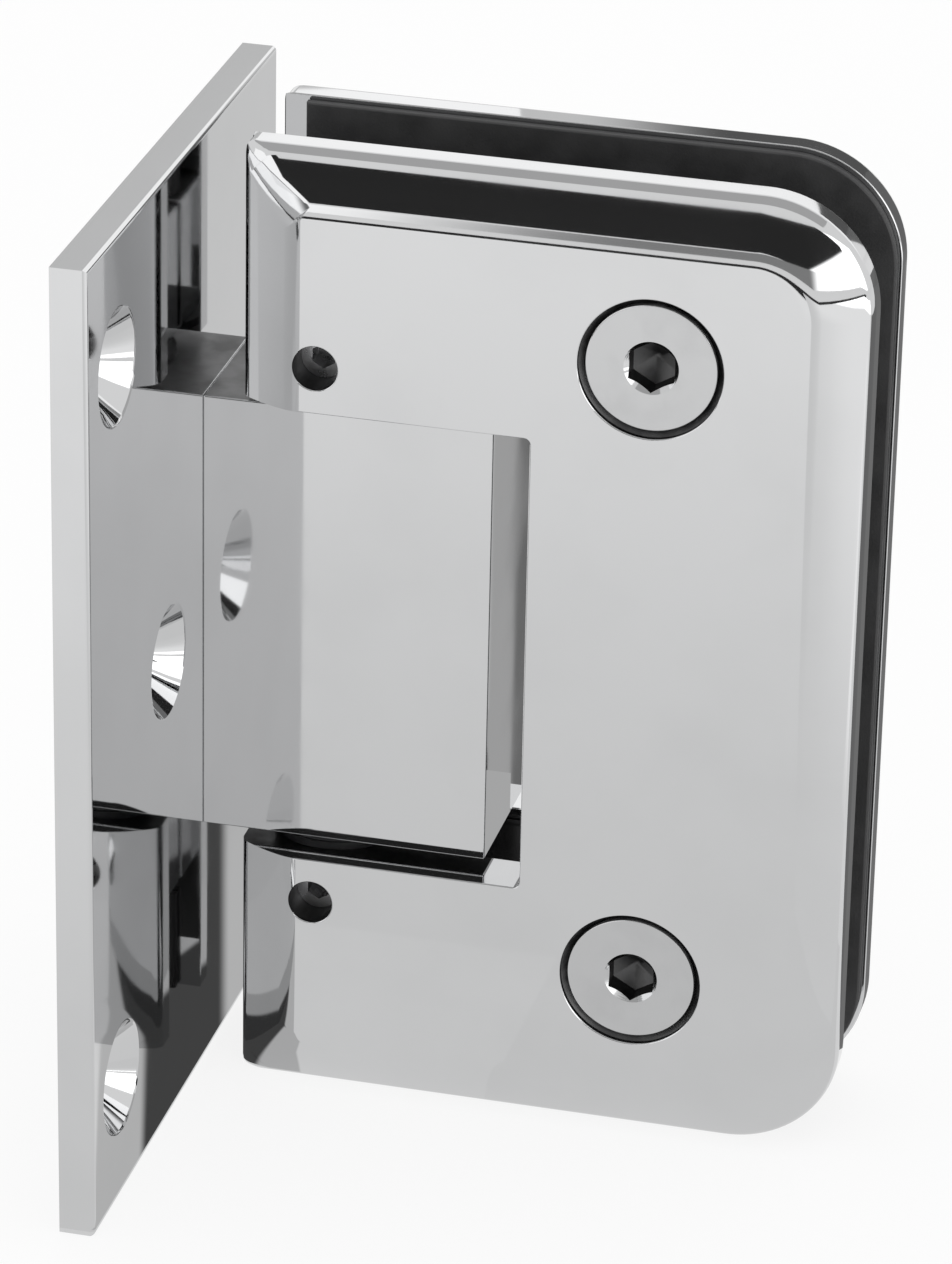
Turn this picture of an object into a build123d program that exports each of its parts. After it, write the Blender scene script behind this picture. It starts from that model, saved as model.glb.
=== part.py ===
"""Shower door hinge, wall to glass, with an offset wall plate and bevelled clamp plates.

+X points away from the wall, +Y to the back of the glass, +Z up. The wall plate's back is at
X = 0, the middle of the glass at Y = 0 and the hinge's half height at Z = 0. The glass, a sheet
notched round the ears, slides between the gaskets from the +X side. All sizes are millimetres.
"""
import math
import os

from build123d import *

# Wall plate
wall_plate_thickness = 3.2
wall_plate_width = 56.0
wall_plate_height = 90.0
wall_plate_offset = 12.0        # how far its middle lies in front of the glass
wall_plate_edge_radius = 0.4
wall_hole_radius = 2.75
wall_head_radius = 5.1
outer_hole_from_side = 8.0
outer_hole_from_end = 11.5
middle_hole_from_side = 22.5

# Pivot block
block_length = 26.0
block_width = 14.0
block_height = 41.6
block_edge_chamfer = 0.4
block_screw_radius = 2.5
block_screw_head_radius = 4.8
block_screw_spacing = 29.0
block_screw_grip = 4.8          # thread length in the block
block_socket_across_flats = 3.0

# Pin and its bushes
pin_radius = 3.5
pin_from_wall_plate = 10.8
pin_grip = 10.5                 # pin length in each ear
bush_wall = 1.0
bush_length = 8.0
bush_flange_radius = 6.0

# Detent: the pin's flats centre the door within this angle each way
detent_angle = 25.0
plunger_radius = 3.0
plunger_head = 3.2
plunger_stem_radius = 1.4
plunger_stem = 2.6
plunger_spacing = 11.0
spring_wire_width = 0.9         # flat wire, measured along the spring
spring_wire_thickness = 0.5
spring_coil_radius = 2.2
spring_turns = 3
spring_runs_per_turn = 12       # straight runs that stand for the coil's curve
spring_end_wall = 1.8           # metal left between the bore and the block's end

# Clamp
clamp_width = 55.0
clamp_height = 90.0
clamp_from_wall_plate = 3.8
clamp_plate_thickness = 5.0
clamp_corner_radius = 10.0
bevel_width = 5.0
bevel_depth = 2.4
bevel_round = 3.0               # between the bevel and the face
glass_thickness = 8.0
gasket_thickness = 1.0
gasket_inset = 0.4
gasket_from_hinge_side = 2.2
ear_gap = 0.8                   # block to ear, filled by the bush's flange
notch_end_gap = 4.2             # block's end to the notch
notch_corner_radius = 0.6
ear_boss_width = 10.0
ear_boss_height = 12.0
cutout_margin = 1.0             # gasket's edge to notch and ears

# Clamp screws, their pillars and sleeves
clamp_screw_from_side = 18.6    # from the clamp's free side
clamp_screw_from_end = 15.75
clamp_screw_radius = 3.0
clamp_head_radius = 5.75
clamp_head_rim = 0.7
clamp_head_recess = 0.4         # how deep the heads lie in the front plate
clamp_screw_length = 14.0
head_ring_gap = 0.6             # the dark ring round each head
clamp_socket_across_flats = 4.0
socket_depth = 2.2              # of the clamp and block screws
pillar_radius = 4.5
pillar_bore_depth = 10.5
sleeve_wall = 1.2

# Pin lock screws
lock_screw_radius = 2.0
lock_screw_length = 4.0
lock_screw_from_notch = 4.2
lock_flat_depth = 0.5
lock_socket_across_flats = 2.0
lock_socket_depth = 2.0

# Clearances
running_clearance = 0.05        # pin in bush, flange to ear
seat_clearance = 0.02           # parts that are screwed, pressed or slid together
loose_clearance = 0.3           # parts that never touch

# Places worked out from the sizes
wall_face_x = wall_plate_thickness
block_end_x = wall_face_x + block_length
pin_x = wall_face_x + pin_from_wall_plate
clamp_start_x = wall_face_x + clamp_from_wall_plate
clamp_end_x = clamp_start_x + clamp_width
clamp_middle_x = clamp_start_x + clamp_width / 2
clamp_screw_x = clamp_end_x - clamp_screw_from_side
notch_end_x = block_end_x + notch_end_gap
notch_half_height = block_height / 2 + ear_gap
inner_face_y = glass_thickness / 2 + gasket_thickness
outer_face_y = inner_face_y + clamp_plate_thickness
wall_plate_y = -wall_plate_offset
wall_plate_side_y = wall_plate_y - wall_plate_width / 2
bush_outer_radius = pin_radius + running_clearance + bush_wall
pin_end_z = notch_half_height + pin_grip
lock_screw_z = notch_half_height + lock_screw_from_notch
pin_flat_depth = pin_radius * (1 - math.cos(math.radians(detent_angle)))
overcut = 1.0


def along_x(radius, start, end, y, z):
    """A round bar along X from start to end."""
    return extrude(Plane((start, y, z), z_dir=(1, 0, 0)) * Circle(radius), amount=end - start)


def along_y(radius, start, end, x, z):
    """A round bar along Y from start to end."""
    return extrude(Plane((x, start, z), z_dir=(0, 1, 0)) * Circle(radius), amount=end - start)


def along_z(radius, start, end, x, y=0.0):
    """A round bar along Z from start to end."""
    return extrude(Plane((x, y, start)) * Circle(radius), amount=end - start)


def cone(point, direction, wide, narrow):
    """A 90 degree cone whose wide end is centred on point, narrowing along direction."""
    plane = Plane(point, z_dir=direction)
    height = wide - narrow
    return plane * Pos(0, 0, height / 2) * Cone(wide, narrow, height)


def block_between(low, high):
    """A box from its lowest to its highest corner."""
    size = [b - a for a, b in zip(low, high)]
    return Pos(*low) * Box(*size, align=(Align.MIN, Align.MIN, Align.MIN))


def hex_socket(point, direction, across_flats, depth):
    """The hollow of a hexagon socket."""
    plane = Plane(point, z_dir=direction)
    return extrude(plane * RegularPolygon(across_flats / 2, 6, major_radius=False), amount=depth)


def wall_hole_places():
    """The wall screws' Y and Z: two near the ends and one at half height."""
    outer_y = wall_plate_side_y + outer_hole_from_side
    middle_y = wall_plate_side_y + middle_hole_from_side
    end_z = wall_plate_height / 2 - outer_hole_from_end
    return [(outer_y, end_z), (outer_y, -end_z), (middle_y, 0)]


def block_screw_heights():
    return {"upper": block_screw_spacing / 2, "lower": -block_screw_spacing / 2}


def make_wall_plate():
    outline = Rectangle(wall_plate_width, wall_plate_height)
    plane = Plane((0, wall_plate_y, 0), x_dir=(0, 1, 0), z_dir=(1, 0, 0))
    plate = extrude(plane * outline, amount=wall_plate_thickness)
    front_face = plate.faces().sort_by(Axis.X)[-1]
    plate = fillet(front_face.edges(), wall_plate_edge_radius)
    for y, z in wall_hole_places():
        plate -= along_x(wall_hole_radius, -overcut, wall_face_x + overcut, y, z)
        plate -= cone((wall_face_x, y, z), (-1, 0, 0), wall_head_radius, wall_hole_radius)
    for z in block_screw_heights().values():
        hole = block_screw_radius + loose_clearance
        plate -= along_x(hole, -overcut, wall_face_x + overcut, 0, z)
        plate -= cone((0, 0, z), (1, 0, 0), block_screw_head_radius + seat_clearance, hole)
    return plate


def make_pivot_block():
    half_width = block_width / 2
    half_height = block_height / 2
    block = block_between(
        (wall_face_x, -half_width, -half_height), (block_end_x, half_width, half_height))
    end_face = block.faces().sort_by(Axis.X)[-1]
    long_edges = block.edges().filter_by(Axis.X)
    block = chamfer(end_face.edges() + long_edges, block_edge_chamfer)
    block -= along_z(
        bush_outer_radius + seat_clearance, -half_height - overcut, half_height + overcut, pin_x)
    spring_end_x = block_end_x - spring_end_wall
    for z in plunger_heights().values():
        block -= along_x(
            plunger_radius + running_clearance, wall_face_x - overcut, spring_end_x, 0, z)
    for z in block_screw_heights().values():
        block -= along_x(
            block_screw_radius + seat_clearance,
            wall_face_x - overcut,
            wall_face_x + block_screw_grip + loose_clearance,
            0,
            z,
        )
    return block


def make_block_screw(z):
    """A countersunk socket screw, put in from the wall plate's back."""
    shank_end = wall_face_x + block_screw_grip
    screw = along_x(block_screw_radius, 0, shank_end, 0, z)
    screw += cone((0, 0, z), (1, 0, 0), block_screw_head_radius, block_screw_radius)
    return screw - hex_socket((0, 0, z), (1, 0, 0), block_socket_across_flats, socket_depth)


def make_pin_bush(side):
    """A bush in one end of the block, side +1 for the upper and -1 for the lower."""
    top = block_height / 2 + ear_gap - running_clearance
    seat = block_height / 2 + seat_clearance
    bush = along_z(bush_flange_radius, seat, top, pin_x)
    bush += along_z(bush_outer_radius, seat - bush_length, top, pin_x)
    bush -= along_z(pin_radius + running_clearance, seat - bush_length - overcut, top + overcut, pin_x)
    return bush if side > 0 else mirror(bush, about=Plane.XY)


def plunger_heights():
    return {"upper": plunger_spacing / 2, "lower": -plunger_spacing / 2}


def plunger_face_x():
    """The plungers stand just clear of the pin's full radius."""
    return pin_x + pin_radius + running_clearance


def make_plunger(z):
    start = plunger_face_x()
    head_end = start + plunger_head
    plunger = along_x(plunger_radius, start, head_end, 0, z)
    return plunger + along_x(plunger_stem_radius, head_end, head_end + plunger_stem, 0, z)


def make_plunger_spring(z):
    """A flat wire coil spring from the plunger's head to the bore's end."""
    start = plunger_face_x() + plunger_head + spring_wire_width / 2 + seat_clearance
    end = block_end_x - spring_end_wall - spring_wire_width / 2 - 2 * running_clearance
    runs = spring_turns * spring_runs_per_turn
    points = []
    for run in range(runs + 1):
        turn = 2 * math.pi * run / spring_runs_per_turn
        points.append(Vector(
            start + (end - start) * run / runs,
            spring_coil_radius * math.cos(turn),
            z + spring_coil_radius * math.sin(turn),
        ))
    section = Rectangle(spring_wire_width, spring_wire_thickness)
    wire = Plane(points[0], x_dir=(1, 0, 0), z_dir=points[1] - points[0]) * section
    return sweep(wire, path=Polyline(*points), transition=Transition.RIGHT)


def make_pivot_pin():
    pin = along_z(pin_radius, -pin_end_z, pin_end_z, pin_x)
    flat_half = plunger_spacing / 2 + plunger_radius + loose_clearance
    pin -= block_between(
        (pin_x + pin_radius - pin_flat_depth, -pin_radius, -flat_half),
        (pin_x + pin_radius + overcut, pin_radius, flat_half),
    )
    for z in (lock_screw_z, -lock_screw_z):
        half = lock_screw_radius + loose_clearance
        pin -= block_between(
            (pin_x - pin_radius, -pin_radius - overcut, z - half),
            (pin_x + pin_radius, -pin_radius + lock_flat_depth, z + half),
        )
    return pin


def clamp_outline():
    """The clamp's outline, square at the hinge side and rounded at the free side."""
    shape = Rectangle(clamp_width, clamp_height)
    free_corners = shape.vertices().sort_by(Axis.X)[-2:]
    return fillet(free_corners, clamp_corner_radius)


def notch_outline():
    """The notch round the pivot block, open at the hinge side."""
    length = notch_end_x - clamp_start_x + overcut
    shape = Rectangle(length, 2 * notch_half_height, align=(Align.MAX, Align.CENTER))
    inner_corners = shape.vertices().sort_by(Axis.X)[-2:]
    return Pos(notch_end_x, 0) * fillet(inner_corners, notch_corner_radius)


def bevelled_plate():
    """The front clamp plate without its ears: a soft bevel all round, then the notch."""
    plane = Plane.XZ.offset(inner_face_y)
    plate = extrude(plane * Pos(clamp_middle_x, 0) * clamp_outline(), amount=clamp_plate_thickness)
    face = plate.faces().sort_by(Axis.Y)[0]
    plate = chamfer(face.edges(), bevel_width, bevel_depth, reference=face)
    face = plate.faces().sort_by(Axis.Y)[0]
    plate = fillet(face.edges(), bevel_round)
    plate -= extrude(plane.offset(-overcut) * notch_outline(), amount=clamp_plate_thickness + 2 * overcut)
    return plate


def clamp_screw_heights():
    height = clamp_height / 2 - clamp_screw_from_end
    return {"upper": height, "lower": -height}


def make_front_plate():
    plate = bevelled_plate()
    for side in (1, -1):
        ends = (notch_half_height * side, (notch_half_height + ear_boss_height) * side)
        plate += block_between(
            (pin_x - ear_boss_width / 2, -inner_face_y, min(ends)),
            (pin_x + ear_boss_width / 2, inner_face_y - loose_clearance, max(ends)),
        )
        plate -= along_z(pin_radius + seat_clearance, min(ends) - overcut, max(ends) + overcut, pin_x)
        plate -= along_y(
            lock_screw_radius + seat_clearance, -outer_face_y - overcut, 0, pin_x, lock_screw_z * side)
    hole = clamp_screw_radius + loose_clearance
    wide = clamp_head_radius + head_ring_gap
    seat_y = -outer_face_y + clamp_head_recess + clamp_head_rim - head_ring_gap + seat_clearance
    for z in clamp_screw_heights().values():
        plate -= along_y(hole, -outer_face_y - overcut, 0, clamp_screw_x, z)
        plate -= along_y(wide, -outer_face_y - overcut, seat_y, clamp_screw_x, z)
        plate -= cone((clamp_screw_x, seat_y, z), (0, 1, 0), wide, hole)
    return plate


def make_rear_plate():
    plate = mirror(bevelled_plate(), about=Plane.XZ)
    top_y = -inner_face_y + loose_clearance
    for z in clamp_screw_heights().values():
        plate += along_y(pillar_radius, top_y, inner_face_y + overcut, clamp_screw_x, z)
        plate -= along_y(
            clamp_screw_radius + seat_clearance, top_y - overcut, top_y + pillar_bore_depth, clamp_screw_x, z)
    return plate


def make_gasket(side):
    """A rubber sheet on a plate's inner face, side -1 for the front and +1 for the rear."""
    top = clamp_height - 2 * gasket_inset
    length = clamp_width - gasket_inset - gasket_from_hinge_side
    shape = Rectangle(length, top, align=(Align.MAX, Align.CENTER))
    free_corners = shape.vertices().sort_by(Axis.X)[-2:]
    shape = Pos(clamp_end_x - gasket_inset, 0) * fillet(free_corners, clamp_corner_radius - gasket_inset)
    notch = notch_end_x + cutout_margin - clamp_start_x + overcut
    shape -= Pos(clamp_start_x - overcut, 0) * Rectangle(
        notch, 2 * (notch_half_height + cutout_margin), align=(Align.MIN, Align.CENTER))
    ears = pin_x + ear_boss_width / 2 + cutout_margin - clamp_start_x + overcut
    shape -= Pos(clamp_start_x - overcut, 0) * Rectangle(
        ears,
        2 * (notch_half_height + ear_boss_height + cutout_margin),
        align=(Align.MIN, Align.CENTER),
    )
    for z in clamp_screw_heights().values():
        shape -= Pos(clamp_screw_x, z) * Circle(sleeve_outer_radius() + loose_clearance)
    start = -inner_face_y if side < 0 else inner_face_y - gasket_thickness
    plane = Plane((0, start, 0), x_dir=(1, 0, 0), z_dir=(0, -1, 0))
    return extrude(plane * shape, amount=-gasket_thickness)


def sleeve_outer_radius():
    return pillar_radius + seat_clearance + sleeve_wall


def make_glass_sleeve(z):
    """A nylon sleeve round a pillar, in the glass's hole."""
    end_y = inner_face_y - loose_clearance
    sleeve = along_y(sleeve_outer_radius(), -end_y, end_y, clamp_screw_x, z)
    return sleeve - along_y(
        pillar_radius + seat_clearance, -end_y - overcut, end_y + overcut, clamp_screw_x, z)


def make_clamp_screw(z):
    """A sunk socket screw: a rim, a 90 degree cone and the threaded shank."""
    head_y = -outer_face_y + clamp_head_recess
    screw = along_y(clamp_screw_radius, head_y, head_y + clamp_screw_length, clamp_screw_x, z)
    screw += along_y(clamp_head_radius, head_y, head_y + clamp_head_rim, clamp_screw_x, z)
    cone_start = (clamp_screw_x, head_y + clamp_head_rim, z)
    screw += cone(cone_start, (0, 1, 0), clamp_head_radius, clamp_screw_radius)
    return screw - hex_socket(
        (clamp_screw_x, head_y, z), (0, 1, 0), clamp_socket_across_flats, socket_depth)


def make_lock_screw(z):
    """A grub screw whose flat end bears on the pin."""
    tip_y = -pin_radius + lock_flat_depth
    screw = along_y(lock_screw_radius, tip_y - lock_screw_length, tip_y - seat_clearance, pin_x, z)
    socket = hex_socket(
        (pin_x, tip_y - lock_screw_length, z), (0, 1, 0), lock_socket_across_flats, lock_socket_depth)
    return screw - socket


def make_all():
    """Every piece by its name."""
    pieces = {
        "wall_plate": make_wall_plate(),
        "pivot_block": make_pivot_block(),
        "pin_bush_upper": make_pin_bush(1),
        "pin_bush_lower": make_pin_bush(-1),
        "front_plate": make_front_plate(),
        "rear_plate": make_rear_plate(),
        "front_gasket": make_gasket(-1),
        "rear_gasket": make_gasket(1),
        "pivot_pin": make_pivot_pin(),
    }
    for name, z in block_screw_heights().items():
        pieces["block_screw_" + name] = make_block_screw(z)
    for name, z in plunger_heights().items():
        pieces["plunger_" + name] = make_plunger(z)
        pieces["plunger_spring_" + name] = make_plunger_spring(z)
    for name, z in clamp_screw_heights().items():
        pieces["clamp_screw_" + name] = make_clamp_screw(z)
        pieces["glass_sleeve_" + name] = make_glass_sleeve(z)
    for name, side in {"upper": 1, "lower": -1}.items():
        pieces["pin_lock_screw_" + name] = make_lock_screw(lock_screw_z * side)
    return pieces


os.makedirs("parts", exist_ok=True)
for node, solid in make_all().items():
    export_step(solid, "parts/" + node + ".step")
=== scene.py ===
"""Polished chrome shower door hinge, wall to glass, built round its CAD frame.

The clamp's plates, the wall plate, the pivot block, the clamp screws and the gaskets are
modelled here. The pieces inside keep their CAD solids and get their finish here. Lengths are
metres in the CAD frame: +X away from the wall, +Y to the back of the glass, +Z up.
"""
import math
from typing import NamedTuple

import bmesh
import bpy
from mathutils import Matrix, Vector


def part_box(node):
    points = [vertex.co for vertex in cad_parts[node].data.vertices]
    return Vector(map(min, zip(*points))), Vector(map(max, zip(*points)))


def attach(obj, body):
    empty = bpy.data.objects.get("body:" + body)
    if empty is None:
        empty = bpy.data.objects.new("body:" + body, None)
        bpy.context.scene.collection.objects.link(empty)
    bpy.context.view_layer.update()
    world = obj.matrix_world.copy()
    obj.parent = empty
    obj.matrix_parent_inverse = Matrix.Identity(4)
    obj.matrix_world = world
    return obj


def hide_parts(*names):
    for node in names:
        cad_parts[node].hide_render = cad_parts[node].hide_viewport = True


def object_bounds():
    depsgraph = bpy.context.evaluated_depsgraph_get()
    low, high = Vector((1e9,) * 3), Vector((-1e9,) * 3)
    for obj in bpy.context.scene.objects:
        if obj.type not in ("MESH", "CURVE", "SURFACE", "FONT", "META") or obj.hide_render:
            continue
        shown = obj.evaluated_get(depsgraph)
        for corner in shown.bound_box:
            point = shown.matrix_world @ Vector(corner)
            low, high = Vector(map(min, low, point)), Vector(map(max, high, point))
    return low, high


bl_info = {
    "name": "Shower door hinge",
    "version": (1, 0, 0),
    "blender": (4, 5, 0),
    "location": "View3D > Sidebar > Door hinge",
    "description": "Builds a polished chrome glass door hinge round its CAD frame",
    "category": "Object",
}

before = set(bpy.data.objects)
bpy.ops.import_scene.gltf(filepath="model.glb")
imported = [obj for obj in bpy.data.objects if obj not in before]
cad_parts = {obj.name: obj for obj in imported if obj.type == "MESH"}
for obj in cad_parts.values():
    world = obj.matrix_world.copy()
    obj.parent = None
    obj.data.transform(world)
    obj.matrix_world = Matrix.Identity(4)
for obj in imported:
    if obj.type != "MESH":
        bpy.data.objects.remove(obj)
cad_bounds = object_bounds()

MM = 0.001
OVERCUT = 1.0 * MM          # how far a cutter stands out of what it cuts
TOUCH = 0.01 * MM           # how near a point lies to count as on a line or face
MERGE = 0.002 * MM          # vertices nearer than this become one
SEAT_GAP = 0.02 * MM        # clear space under a clamp screw's cone
FACING = 0.99               # a normal's least share along the axis that its face looks along
SMOOTH_UNDER = math.radians(32)     # an edge that turns less is shaded smooth
GASKET_ROUND = 0.2 * MM     # rounding of the rubber's cut edges

FRONT_LOW, FRONT_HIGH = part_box("front_plate")
REAR_LOW, REAR_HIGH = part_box("rear_plate")
WALL_LOW, WALL_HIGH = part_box("wall_plate")
BLOCK_LOW, BLOCK_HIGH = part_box("pivot_block")
PIN_LOW, PIN_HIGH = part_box("pivot_pin")
HEAD_LOW, HEAD_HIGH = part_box("clamp_screw_upper")

PIN_X = (PIN_LOW.x + PIN_HIGH.x) / 2
SCREW_X = (HEAD_LOW.x + HEAD_HIGH.x) / 2
SCREW_Z = (HEAD_LOW.z + HEAD_HIGH.z) / 2


def length(text, default, what):
    """A length property in metres."""
    return bpy.props.FloatProperty(name=text, description=what, default=default, min=0.0, subtype="DISTANCE")


class ClampSizes(bpy.types.PropertyGroup):
    """Sizes of the two clamp plates."""

    plate_thickness: length("Plate thickness", 5.0 * MM, "Thickness of each clamp plate")
    corner_radius: length("Corner radius", 10.0 * MM, "Rounding of the free side's corners")
    bevel_width: length("Bevel width", 5.0 * MM, "Width of the bevel round the outer face")
    bevel_depth: length("Bevel depth", 2.4 * MM, "How far the bevel falls towards its edge")
    crown: bpy.props.FloatProperty(
        name="Crown", description="How much the bevel turns to each side of its slope",
        default=math.radians(11.0), min=0.01, subtype="ANGLE")
    face_round: length("Face rounding", 0.72 * MM, "Setback of the rounding between face and bevel")
    mitre_round: length("Mitre rounding", 1.7 * MM, "Setback of the rounding along the mitres")
    edge_round: length("Edge rounding", 0.66 * MM, "Setback of the rounding at the outer edge")
    side_round: length("Side rounding", 0.9 * MM, "Setback of the rounding at the hinge side's corners")
    notch_end: length("Notch end", 33.15 * MM, "X of the notch's end")
    notch_half: length("Notch half height", 21.6 * MM, "Half the notch's height")
    notch_corner: length("Notch corner", 0.6 * MM, "Rounding of the notch's inner corners")
    rim: length("Rim", 0.12 * MM, "Fine rounding of cut edges on the faces")
    ear_width: length("Ear width", 10.0 * MM, "Width of the ears that carry the pin")
    ear_height: length("Ear height", 12.0 * MM, "How far the ears reach past the notch")
    ear_root: length("Ear root", 2.0 * MM, "How deep the ears are joined into the plate")
    ear_round: length("Ear rounding", 0.3 * MM, "Rounding of the ears' back edges")
    pin_bore: length("Pin bore", 3.52 * MM, "Radius of the pin's bore in the ears")
    pillar_radius: length("Pillar radius", 4.5 * MM, "Radius of the rear plate's pillars")
    pillar_chamfer: length("Pillar chamfer", 0.3 * MM, "Chamfer at the pillars' front ends")
    thread_radius: length("Thread radius", 3.02 * MM, "Radius of the pillars' bores")
    thread_depth: length("Thread depth", 10.5 * MM, "Depth of the pillars' bores")


class WallPlateSizes(bpy.types.PropertyGroup):
    """Sizes of the wall plate's holes and edges."""

    edge_round: length("Edge rounding", 0.4 * MM, "Rounding of the front edges")
    hole_radius: length("Hole radius", 2.75 * MM, "Radius of the wall screws' holes")
    head_radius: length("Countersink radius", 5.1 * MM, "Radius of the countersinks")
    outer_from_side: length("Outer hole, side", 8.0 * MM, "The outer holes' distance from the front side")
    outer_from_end: length("Outer hole, end", 11.5 * MM, "The outer holes' distance from the ends")
    middle_from_side: length("Middle hole", 22.5 * MM, "The middle hole's distance from the front side")
    block_hole_radius: length("Block screw hole", 2.8 * MM, "Radius of the block screws' holes")
    block_seat_radius: length("Block screw seat", 4.82 * MM, "Radius of those holes' seats at the back")
    block_seat_depth: length("Block screw seat depth", 2.02 * MM, "Depth of those seats")
    rim: length("Rim", 0.12 * MM, "Fine rounding round the countersinks")


class BlockSizes(bpy.types.PropertyGroup):
    """Sizes of the pivot block."""

    edge_round: length("Edge rounding", 0.14 * MM, "Fine rounding of the long edges and the end")
    foot_round: length("Foot rounding", 0.1 * MM, "Fine rounding where the block meets the wall plate")
    bush_bore: length("Bush bore", 4.57 * MM, "Radius of the bore for the bushes")
    plunger_bore: length("Plunger bore", 3.05 * MM, "Radius of the plungers' bores")
    plunger_height: length("Plunger height", 5.5 * MM, "Height of each plunger off the middle")
    plunger_end: length("Plunger bore end", 27.4 * MM, "X of the plunger bores' end")
    screw_bore: length("Screw bore", 2.52 * MM, "Radius of the block screws' threads")
    screw_height: length("Screw height", 14.5 * MM, "Height of each block screw off the middle")
    screw_end: length("Screw bore end", 8.3 * MM, "X of the screw bores' end")


class ScrewSizes(bpy.types.PropertyGroup):
    """Sizes of the clamp screws, and of the holes that take them."""

    head_radius: length("Head radius", (HEAD_HIGH.x - HEAD_LOW.x) / 2, "Radius of the flat head")
    head_rim: length("Head rim", 0.7 * MM, "Height of the head's straight rim")
    head_recess: length("Head recess", 0.4 * MM, "How deep the head lies in the plate")
    head_round: length("Head rounding", 0.14 * MM, "Rounding of the head's upper edge")
    shank_radius: length("Shank radius", 3.0 * MM, "Radius of the threaded shank")
    shank_clearance: length("Shank clearance", 0.3 * MM, "Clear space round the shank in the front plate")
    tip_chamfer: length("Tip chamfer", 0.4 * MM, "Chamfer at the shank's end")
    screw_length: length("Length", 14.0 * MM, "Whole length of the screw")
    socket_width: length("Socket width", 4.0 * MM, "Across the flats of the socket")
    socket_depth: length("Socket depth", 2.2 * MM, "Depth of the socket")
    socket_point: length("Socket point", 0.9 * MM, "Depth of the drilled point below the socket")
    point_radius: length("Point radius", 0.3 * MM, "Radius at the drilled point's end")
    mouth_flare: length("Mouth flare", 0.1 * MM, "Chamfer round the socket's mouth")
    ring_gap: length("Ring gap", 0.6 * MM, "Open ring round the head")
    lock_bore: length("Lock screw bore", 2.02 * MM, "Radius of the small holes in the ears")
    lock_height: length("Lock screw height", 25.8 * MM, "Height of the small holes off the middle")


class ChromeFinish(bpy.types.PropertyGroup):
    """Colour and gloss of the plating."""

    colour: bpy.props.FloatVectorProperty(
        name="Colour", description="Reflected colour of the plating", subtype="COLOR",
        default=(0.62, 0.623, 0.628), min=0.0, max=1.0)
    gloss: bpy.props.FloatProperty(
        name="Roughness", description="Roughness of clean plating", default=0.035, min=0.0, max=1.0)


class StageSettings(bpy.types.PropertyGroup):
    """Floor and light."""

    floor_colour: bpy.props.FloatVectorProperty(
        name="Floor", description="Colour of the floor", subtype="COLOR",
        default=(0.88, 0.88, 0.88), min=0.0, max=1.0)
    top_light: bpy.props.FloatProperty(
        name="Top light", description="Strength of the softbox overhead", default=1.4, min=0.0)
    back_light: bpy.props.FloatProperty(
        name="Back light", description="Strength of the softbox behind", default=1.0, min=0.0)
    room_light: bpy.props.FloatProperty(
        name="Room light", description="Light that the room itself gives", default=0.6, min=0.0)
    floor_glow: bpy.props.FloatProperty(
        name="Floor glow", description="Share of plain white that the camera and mirrors see in the floor",
        default=0.85, min=0.0, max=1.0)


# Modelling helpers

def select_none():
    """Object mode with nothing selected."""
    if bpy.context.mode != "OBJECT":
        bpy.ops.object.mode_set(mode="OBJECT")
    bpy.ops.object.select_all(action="DESELECT")


def activate(piece):
    select_none()
    piece.select_set(True)
    bpy.context.view_layer.objects.active = piece


def settle(name):
    """Names the new primitive and puts its place into its mesh."""
    bpy.ops.object.transform_apply(location=True, rotation=True, scale=True)
    piece = bpy.context.object
    piece.name = piece.data.name = name
    return piece


def new_block(name, low, high):
    """A cube stretched between two corners."""
    select_none()
    low, high = Vector(low), Vector(high)
    bpy.ops.mesh.primitive_cube_add(size=1, location=(low + high) / 2, scale=high - low)
    return settle(name)


TURNS = {"X": (0.0, math.pi / 2, 0.0), "Y": (-math.pi / 2, 0.0, 0.0), "Z": (0.0, 0.0, 0.0)}
AXES = {"X": Vector((1, 0, 0)), "Y": Vector((0, 1, 0)), "Z": Vector((0, 0, 1))}


def new_turned(name, axis, centre, profile, sides=96):
    """A disc, extruded along an axis and scaled from each (place, radius) to the next."""
    select_none()
    centre, along = Vector(centre), AXES[axis]
    place, radius = profile[0]
    bpy.ops.mesh.primitive_circle_add(
        vertices=sides, radius=radius, fill_type="NGON",
        location=centre + along * place, rotation=TURNS[axis])
    piece = settle(name)
    bpy.ops.object.mode_set(mode="EDIT")
    bpy.ops.mesh.select_mode(type="FACE")
    bpy.ops.mesh.select_all(action="SELECT")
    for next_place, next_radius in profile[1:]:
        step = along * (next_place - place)
        bpy.ops.mesh.extrude_region_move(TRANSFORM_OT_translate={"value": step})
        if next_radius != radius:
            ratio = next_radius / radius
            bpy.ops.transform.resize(value=(ratio,) * 3, center_override=centre + along * next_place)
        place, radius = next_place, next_radius
    bpy.ops.mesh.select_all(action="SELECT")
    bpy.ops.mesh.normals_make_consistent(inside=False)
    bpy.ops.object.mode_set(mode="OBJECT")
    return piece


def edit_all(piece):
    """Edit mode with everything selected."""
    activate(piece)
    bpy.ops.object.mode_set(mode="EDIT")
    bpy.ops.mesh.select_all(action="SELECT")


def copied(piece, name):
    """A copy under its own name, in edit mode with everything selected."""
    activate(piece)
    bpy.ops.object.duplicate()
    copy = bpy.context.object
    copy.name = copy.data.name = name
    edit_all(copy)
    return copy


def pick(piece, edges=None, faces=None):
    """Edit mode with only the edges or faces selected that pass the test."""
    activate(piece)
    bpy.ops.object.mode_set(mode="EDIT")
    bpy.ops.mesh.select_mode(type="EDGE" if edges else "FACE")
    bpy.ops.mesh.select_all(action="DESELECT")
    shape = bmesh.from_edit_mesh(piece.data)
    found = 0
    for part in (shape.edges if edges else shape.faces):
        if (edges or faces)(part):
            part.select_set(True)
            found += 1
    bmesh.update_edit_mesh(piece.data)
    if not found:
        raise RuntimeError(f"nothing to select on {piece.name}")


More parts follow.
